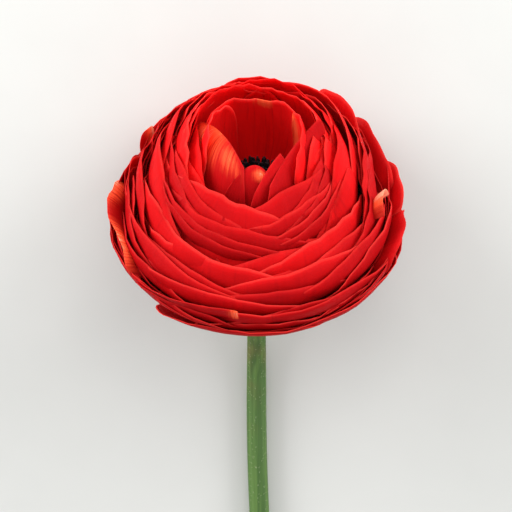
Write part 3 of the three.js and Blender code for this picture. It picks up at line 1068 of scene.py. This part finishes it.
def crown_places():
    places = []
    for row, (count, radius, lean, height) in enumerate(STAMEN_ROWS):
        for k in range(count):
            index = 100 * (row + 1) + k
            turn = 2 * math.pi * (k + 0.5 * row) / count + 0.07 * swing(index, 30)
            out = Vector((math.cos(turn), math.sin(turn), 0))
            foot = out * radius + Vector((0, 0, EYE_FOOT + 0.4))
            along = Vector((0, 0, STAMEN_HEIGHT)) + out * (lean + 0.4 * swing(index, 31))
            along += Vector((-out.y, out.x, 0)) * 0.5 * swing(index, 32)
            size = height * (0.93 + 0.06 * draw(index, 33))
            places.append(stand(foot, along, size, turn + 0.6 * swing(index, 34)))
    return places


ledge = turned([(radius, EYE_FOOT + height) for radius, height in LEDGE], 40, "ledge")
stamens = join([spread(stamen, crown_places(), "stamen_crown"), ledge], "stamen_crown")
mark(stamens, "height", (points_of(stamens)[:, 2] - EYE_FOOT) / STAMEN_HEIGHT)
stamens.data.transform(bloom_to_world)
smooth_faces(stamens)
print("the crown has", len(stamens.data.polygons), "faces")

# %% [markdown]
# ## The cone
# Inside the crown the green-black carpels crowd on a cone. Its outline is a Bezier curve, as
# in the solid, and a little inside it so that the carpels make up the rest.

# %% The cone
CARPEL_HEIGHT = 12.5
CARPELS = 170
CONE_STEPS = 12
CONE_SINK = 0.35


def cone_outline(t):
    """Radius and height of the carpels' cone, from its foot to its tip."""
    radius = bezier(3.9, 5.6, 4.6, 0.9, t)
    return radius, EYE_FOOT + bezier(0, 0.35, 0.95, 1, t) * CARPEL_HEIGHT


cone_rings = []
for step in range(CONE_STEPS + 1):
    radius, height = cone_outline(step / CONE_STEPS)
    cone_rings.append((radius - CONE_SINK, height - 0.1 * min(step, 1)))
cone = turned(cone_rings, 24, "cone")
print("the cone has", len(cone.data.polygons), "faces")

# %% [markdown]
# ## The carpels
# Each carpel is a flat seed case with a hooked beak. They sit on the cone in two sets of
# spirals, because every next one is turned by the golden angle.

# %% The carpels
GOLDEN_ANGLE = math.radians(137.508)

carpel = turned([(0.34, -0.5), (0.5, 0.0), (0.42, 0.35), (0.16, 0.6), (0.08, 0.95)], 6, "carpel")
shape = points_of(carpel)
shape[:, 1] *= 0.7
shape[:, 0] += 0.3 * np.maximum(shape[:, 2] - 0.35, 0) ** 2
move_points(carpel, shape)


def carpel_places():
    places = []
    for k in range(CARPELS):
        t = 0.04 + 0.94 * (k + 0.5) / CARPELS
        radius, height = cone_outline(t)
        turn = GOLDEN_ANGLE * k
        rise = 0.25 + 3.2 * max(0.0, t - 0.5) ** 1.5
        out = Vector((math.cos(turn), math.sin(turn), 0))
        foot = out * (radius - 0.3) + Vector((0, 0, height - 0.2))
        places.append(stand(foot, out + Vector((0, 0, rise)), 0.95, 0.3 * swing(k, 35)))
    return places


carpels = join([spread(carpel, carpel_places(), "carpel_cone"), cone], "carpel_cone")
mark(carpels, "height", (points_of(carpels)[:, 2] - EYE_FOOT) / CARPEL_HEIGHT)
carpels.data.transform(bloom_to_world)
smooth_faces(carpels)
print("cone and carpels have", len(carpels.data.polygons), "faces")

# %% [markdown]
# ## The sepals
# Five green sepals spread under the bloom and bend back to the stem. Each is a thin,
# boat-shaped leaf with long veins. Like the petals, they are a flat grid bent by a formula,
# so that a vein can run along every one of them.

# %% The sepals
SEPALS = 5
SEPAL_REACH = 15.0
SEPAL_HALF_WIDTH = 5.4
SEPAL_THICKNESS = 0.55


def sepal_points(azimuth, u, v):
    reach = 4 + SEPAL_REACH * v - 3 * v**3
    half = SEPAL_HALF_WIDTH * np.sin(math.pi * mix(0.2, 0.97, v))
    keel = 0.25 * (1 - np.abs(u)) ** 2 * np.sin(math.pi * v)
    height = -1.7 - 1.4 * v - 5.5 * v**2.2 - 0.4 * u * u + keel
    out = np.array([math.cos(azimuth), math.sin(azimuth), 0])
    aside = np.array([-math.sin(azimuth), math.cos(azimuth), 0])
    up = np.array([0, 0, 1.0])
    return out * reach[:, None] + aside * (u * half)[:, None] + up * height[:, None]


def sepal_azimuth(k):
    return 2 * math.pi * (k + 0.3) / SEPALS + 0.12 * swing(k, 12)


flat_sepal = flat_sheet(14, 18, "sepal")
flat = points_of(flat_sepal)
sepals = []
for k in range(SEPALS):
    copy = own_copy(flat_sepal)
    move_points(copy, sepal_points(sepal_azimuth(k), flat[:, 0], (flat[:, 1] + 1) / 2))
    sepals.append(copy)
bpy.data.objects.remove(flat_sepal)
leaves = thicken(join(sepals, "sepals"), SEPAL_THICKNESS)
print(SEPALS, "sepals have", len(leaves.data.polygons), "faces")

# %% [markdown]
# ## The collar
# The sepals grow from a small green collar between the stem's neck and the lowest petals. It
# is turned, and joined with them to one piece.

# %% The collar
# radius and height, below the bloom's underside
COLLAR = [(3.1, -4.25), (4.2, -3.9), (5.3, -3.3), (6.1, -2.4), (6.4, -1.4), (6.3, -0.3)]
calyx = join([leaves, turned(COLLAR, 40, "collar")], "calyx_leaves")
calyx.data.transform(bloom_to_world)
smooth_faces(calyx)
print("the calyx has", len(calyx.data.polygons), "faces")

# %% [markdown]
# ## A straight rod
# The stem is a soft, faintly ribbed tube, hollow where it is cut. A curve with a round bevel
# could follow its bend but not carry its ribs. So a straight rod is extruded in steps, and
# its end is inset and pushed in as the hollow.

# %% The rod
STEM_NECK_RADIUS = 2.9
STEM_DRIFT = 4.0
PITH_SHARE = 0.44
STEM_STEPS = 60
RIBS = 11
POINTS_PER_RIB = 4
WALL = 0.12
HOLLOW_STEPS = 4

deselect()
bpy.ops.mesh.primitive_circle_add(vertices=RIBS * POINTS_PER_RIB, radius=1, fill_type="NGON")
stem = bpy.context.object
stem.name = "stem_rod"
bpy.ops.object.mode_set(mode="EDIT")
for step in range(STEM_STEPS):
    bpy.ops.mesh.extrude_region_move(TRANSFORM_OT_translate={"value": (0, 0, 1)})
bpy.ops.mesh.inset(thickness=WALL)
bpy.ops.mesh.inset(thickness=1 - WALL - PITH_SHARE)
bpy.ops.mesh.extrude_region_move(TRANSFORM_OT_translate={"value": (0, 0, -HOLLOW_STEPS)})
bpy.ops.mesh.select_all(action="SELECT")
bpy.ops.mesh.normals_make_consistent(inside=False)
bpy.ops.object.mode_set(mode="OBJECT")
rod = points_of(stem)
print("the rod is", STEM_STEPS, "steps long, with", len(stem.data.polygons), "faces")

# %% [markdown]
# ## The bent stem
# Every point of the rod is carried to the bent middle line that the solid has: an arc down
# from the neck, then a straight stretch on the table that drifts a little sideways. The ribs
# turn slowly round it, and the cut is slanted.

# %% The stem
arc_length = neck_arc * bend
stem_length = arc_length + STEM_STRAIGHT


def stem_points(length, angle, share):
    """Points in the design's frame: how far along, which way round, how far out."""
    slope = bend * np.clip(1 - length / arc_length, 0, 1)
    straight = np.maximum(length - arc_length, 0)
    on_arc = neck_y - neck_arc * (math.sin(bend) - np.sin(slope))
    middle_y = np.where(straight > 0, level_y - straight, on_arc)
    middle_z = neck_z - neck_arc * (np.cos(slope) - math.cos(bend))
    middle_x = STEM_DRIFT * (straight / STEM_STRAIGHT) ** 2
    radius = facet * mix(STEM_NECK_RADIUS, STEM_RADIUS, np.clip(length / arc_length, 0, 1))
    ribbed = radius * (0.965 + 0.035 * np.cos(RIBS * angle + 0.02 * length))
    across = share * ribbed * np.cos(angle)
    rise = share * ribbed * np.sin(angle)
    slant = STEM_CUT_SLANT * rise * smooth((length - stem_length + 3) / 3)
    y = middle_y - rise * np.sin(slope) + slant
    z = middle_z + rise * np.cos(slope)
    return np.stack([middle_x + across, y, z], axis=1)


along = rod[:, 2] / STEM_STEPS * stem_length
around = np.arctan2(rod[:, 1], rod[:, 0])
share = np.minimum(np.hypot(rod[:, 0], rod[:, 1]), 1)
move_points(stem, carry(stem_points(along, around, share), design_to_world))
mark(stem, "cut", np.where((share < 0.92) & (along > 1), 1.0, 0.0))
mark(stem, "along", along / stem_length)
smooth_faces(stem, 40)
print("the stem is", round(stem_length, 1), "mm long")

# %% [markdown]
# ## One silky hair
# Stem, collar and the backs of the sepals are covered with short silky hairs. A particle
# system would need its settings kept, so one hair is modelled, a thin three-sided cone with
# few faces, and copied to many drawn spots.

# %% A hair
HAIR_POINTS = 6


def hair():
    """A hair one millimetre long, with its foot at the origin."""
    deselect()
    bpy.ops.mesh.primitive_cone_add(
        vertices=3, radius1=0.045, radius2=0.004, depth=1, location=(0, 0, 0.5)
    )
    bpy.ops.object.transform_apply(location=True, rotation=True, scale=True)
    return bpy.context.object


def stretch(matrix, length):
    """The same place for a hair of another length."""
    return matrix @ Matrix.Diagonal((1, 1, length, 1))


trial = hair()
print("a hair has", len(trial.data.polygons), "faces")
bpy.data.objects.remove(trial)

# %% [markdown]
# ## Hairs on the stem
# They grow all round the stem and lean towards the bloom. None grows where the table touches.

# %% The stem's hairs
STEM_HAIRS = 620
LOWEST_HAIR = 1.0
in_mm = MM.inverted() @ design_to_world


def stem_hair_places():
    places = []
    for k in range(STEM_HAIRS):
        length = np.array([3 + (stem_length - 6) * draw(k, 40)])
        angle = np.array([math.radians(-55 + 290 * draw(k, 41))])
        foot = carry(stem_points(length, angle, np.array([0.98])), in_mm)[0]
        tip = carry(stem_points(length - 0.5, angle, np.array([1.2])), in_mm)[0]
        lean = Vector(tip - foot).normalized()
        lean += Vector([0.25 * swing(k, use) for use in (42, 43, 44)])
        if foot[2] > LOWEST_HAIR:
            places.append(MM @ stretch(stand(foot, lean), 0.8 + 0.7 * draw(k, 45)))
    return places


stem_hairs = spread(hair(), stem_hair_places(), "stem_hairs")
print("hairs on the stem:", len(stem_hairs.data.vertices) // HAIR_POINTS)

# %% [markdown]
# ## Hairs on the sepals
# They grow on the backs only, and point away from the bloom.

# %% The sepals' hairs
SEPAL_HAIRS = 55


def sepal_hair_places():
    places = []
    for k in range(SEPALS * SEPAL_HAIRS):
        azimuth = sepal_azimuth(k % SEPALS)
        u = np.array([0.9 * swing(k, 46)])
        v = np.array([0.1 + 0.85 * draw(k, 47)])
        foot = Vector(sepal_points(azimuth, u, v)[0] - [0, 0, SEPAL_THICKNESS / 2])
        lean = Vector((0.4 * math.cos(azimuth), 0.4 * math.sin(azimuth), -1))
        lean += Vector([0.35 * swing(k, use) for use in (48, 49, 50)])
        places.append(bloom_to_world @ stretch(stand(foot, lean), 0.7 + 0.6 * draw(k, 51)))
    return places


sepal_hairs = spread(hair(), sepal_hair_places(), "sepal_hairs")
print("hairs on the sepals:", len(sepal_hairs.data.vertices) // HAIR_POINTS)

# %% [markdown]
# ## The stem's finish
# The stem is fresh green with fine darker streaks along its ribs, and in patches towards the bloom
# it turns reddish brown. Where it is cut it is pale and wet. Streaks are noise stretched along Y,
# the way that the stem lies.

# %% The stem's material
def stem_finish():
    finish = Finish("stem_skin")
    place = finish.place()
    streaks = finish.noise(finish.stretched(place, (900.0, 25.0, 900.0)), 1.0, 3.0)
    patches = finish.noise(place, 120.0, 2.0, 3.0)
    cut = finish.spot("cut")
    near_bloom = finish.between(1 - finish.spot("along"), 0.3, 1.0)
    reddening = finish.between(patches, 0.45, 0.8) * near_bloom * 0.55
    ribs = finish.between(streaks, 0.35, 0.7)
    green = finish.colours(ribs, rgb(0.04, 0.105, 0.014), rgb(0.085, 0.175, 0.03))
    reddened = finish.colours(reddening, green, rgb(0.2, 0.09, 0.03))
    ended = finish.colours(cut * 0.9, reddened, rgb(0.5, 0.58, 0.3))
    finish.bump(streaks, 0.0003, 0.5)
    return finish.set(
        Base_Color=ended,
        Roughness=0.5 - cut * 0.15,
        Subsurface_Weight=0.1,
        Subsurface_Radius=(0.0008, 0.0012, 0.0003),
        Subsurface_Scale=1.0,
    )


dress(stem, stem_finish(), "stem")
print("the stem is finished")

# %% [markdown]
# ## The sepals' finish
# The sepals are the same green with long pale veins, and worn yellowish in patches.

# %% The sepals' material
def sepal_finish():
    finish = Finish("sepal_skin")
    veins = finish.noise(finish.stretched(finish.unwrapped("sepal"), (26.0, 1.4, 1.0)), 1.0, 2.0)
    patches = finish.noise(finish.place(), 260.0, 3.0)
    veined = finish.between(veins, 0.4, 0.65)
    green = finish.colours(veined, rgb(0.1, 0.19, 0.03), rgb(0.22, 0.31, 0.07))
    worn = finish.colours(finish.between(patches, 0.5, 0.8) * 0.5, green, rgb(0.3, 0.3, 0.1))
    finish.bump(veins, 0.0004, 0.6)
    return finish.set(Base_Color=worn, Roughness=0.6 - veins * 0.1)


dress(calyx, sepal_finish(), "calyx")
print("the calyx is finished")

# %% [markdown]
# ## The hairs' finish
# The hairs are nearly colourless and shine silvery green against the stem.

# %% The hairs' material
def hair_finish():
    finish = Finish("silky_hair")
    tint = finish.noise(finish.place(), 700.0, 1.0)
    silver = finish.colours(tint, rgb(0.42, 0.48, 0.28), rgb(0.6, 0.62, 0.42))
    return finish.set(Base_Color=silver, Roughness=0.4 + tint * 0.2)


hair_material = hair_finish()
dress(stem_hairs, hair_material, None)
dress(sepal_hairs, hair_material, None)
print("the hairs are finished")

# %% [markdown]
# ## The stamens' finish
# The stamens are black with a violet dusting of pollen in grains on the anthers.

# %% The stamens' material
def stamen_finish():
    finish = Finish("stamen_black")
    grain = finish.noise(finish.place(), 2600.0, 3.0)
    height = finish.spot("height")
    on_anther = finish.between(height, 0.5, 0.75)
    dark = finish.colours(on_anther, rgb(0.012, 0.006, 0.011), rgb(0.006, 0.005, 0.009))
    pollen = finish.between(grain, 0.62, 0.75) * finish.between(height, 0.62, 0.8) * 0.5
    dusted = finish.colours(pollen, dark, rgb(0.05, 0.035, 0.06))
    finish.bump(grain, 0.0001, 0.6)
    return finish.set(Base_Color=dusted, Roughness=0.75 - grain * 0.2)


dress(stamens, stamen_finish(), "stamens")
print("the stamens are finished")

# %% [markdown]
# ## The carpels' finish
# The carpels are dark green with browner beaks towards the tip of the cone.

# %% The carpels' material
def carpel_finish():
    finish = Finish("carpel_green")
    grain = finish.noise(finish.place(), 1500.0, 3.0)
    high = finish.between(finish.spot("height"), 0.2, 1.0)
    green = finish.colours(high, rgb(0.02, 0.025, 0.008), rgb(0.035, 0.03, 0.014))
    worn = finish.colours(finish.between(grain, 0.5, 0.75) * 0.6, green, rgb(0.07, 0.05, 0.02))
    finish.bump(grain, 0.0001, 0.5)
    return finish.set(Base_Color=worn, Roughness=0.65)


dress(carpels, carpel_finish(), "carpels")
print("materials:", sorted(material.name for material in bpy.data.materials))

# %% [markdown]
# ## The table
# The flower lies on a plain pale table that reaches far beyond the picture. Its finish is
# nearly even, so that it doesn't compete with the petals.

# %% The table
def table_finish():
    finish = Finish("table_top")
    grain = finish.noise(finish.place(), 40.0, 4.0)
    pale = finish.colours(grain, rgb(0.58, 0.59, 0.57), rgb(0.62, 0.63, 0.61))
    return finish.set(Base_Color=pale, Roughness=0.65 + grain * 0.1)


TABLE_SIZE = 3

deselect()
bpy.ops.mesh.primitive_plane_add(size=TABLE_SIZE)
table = bpy.context.object
table.name = "table"
table.data.materials.append(table_finish())
print("the table is", round(table.dimensions.x, 2), "m wide")

# %% [markdown]
# ## Soft light
# Outdoors most light comes from the whole sky, so an even pale world does most here. One
# lamp behind and above brightens the tops of the petals. Two low ones at the sides reach the
# flanks but leave the lowest petals in shade, where the bloom itself keeps the light off.

# %% Sky and lamps
SKY_STRENGTH = 0.75
MIDDLE_HEIGHT = 14

scene = bpy.context.scene
scene.view_settings.view_transform = "Standard"
world = bpy.data.worlds.new("soft_sky")
scene.world = world
world.use_nodes = True
sky = world.node_tree.nodes["Background"].inputs
sky["Color"].default_value = rgb(1, 1, 1)
sky["Strength"].default_value = SKY_STRENGTH
bloom_middle = bloom_to_world @ Vector((0, 0, MIDDLE_HEIGHT))


def light(name, place, size, power, colour=(1, 1, 1)):
    """A square lamp that shines on the bloom's middle."""
    lamp = bpy.data.lights.new(name, "AREA")
    lamp.size = size
    lamp.energy = power
    lamp.color = colour
    holder = bpy.data.objects.new(name, lamp)
    bpy.context.collection.objects.link(holder)
    holder.location = place
    holder.rotation_euler = (bloom_middle - Vector(place)).to_track_quat("-Z", "Y").to_euler()


light("key", (0.1, 0.5, 0.6), 0.35, 0.9, (1, 0.97, 0.95))
light("left", (-0.6, 0.4, 0.3), 0.5, 5.8)
light("right", (0.6, 0.4, 0.3), 0.5, 4.9)
print(len(bpy.data.lights), "lamps and a sky")

# %% [markdown]
# ## The camera
# The flower is shown upright in the photo but lies on a table here, so the camera looks down
# on it, four degrees from straight above. Its lens gives the bloom the size that it has in
# the photo, and the bloom's middle is a little above the picture's.

# %% The camera
LOOK_LEAN = math.radians(4)
DISTANCE = 0.6
PICTURE = 512
PIXELS_PER_MM = 3.22
AIM_LEFT = 0.5 / 3300
AIM_DOWN = 36 / 3300

right = Vector((1, 0, 0))
back = Vector((0, math.sin(LOOK_LEAN), math.cos(LOOK_LEAN)))
up = Vector((0, math.cos(LOOK_LEAN), -math.sin(LOOK_LEAN)))
aim = bloom_middle - right * AIM_LEFT - up * AIM_DOWN
lens = bpy.data.cameras.new("camera")
lens.sensor_width = 36
lens.lens = PIXELS_PER_MM * 1000 * DISTANCE * lens.sensor_width / PICTURE
camera = bpy.data.objects.new("camera", lens)
bpy.context.collection.objects.link(camera)
turn = Matrix((right, up, back)).transposed().to_4x4()
camera.matrix_world = Matrix.Translation(aim + back * DISTANCE) @ turn
scene.camera = camera
print("the camera looks from", [round(v, 3) for v in camera.location])
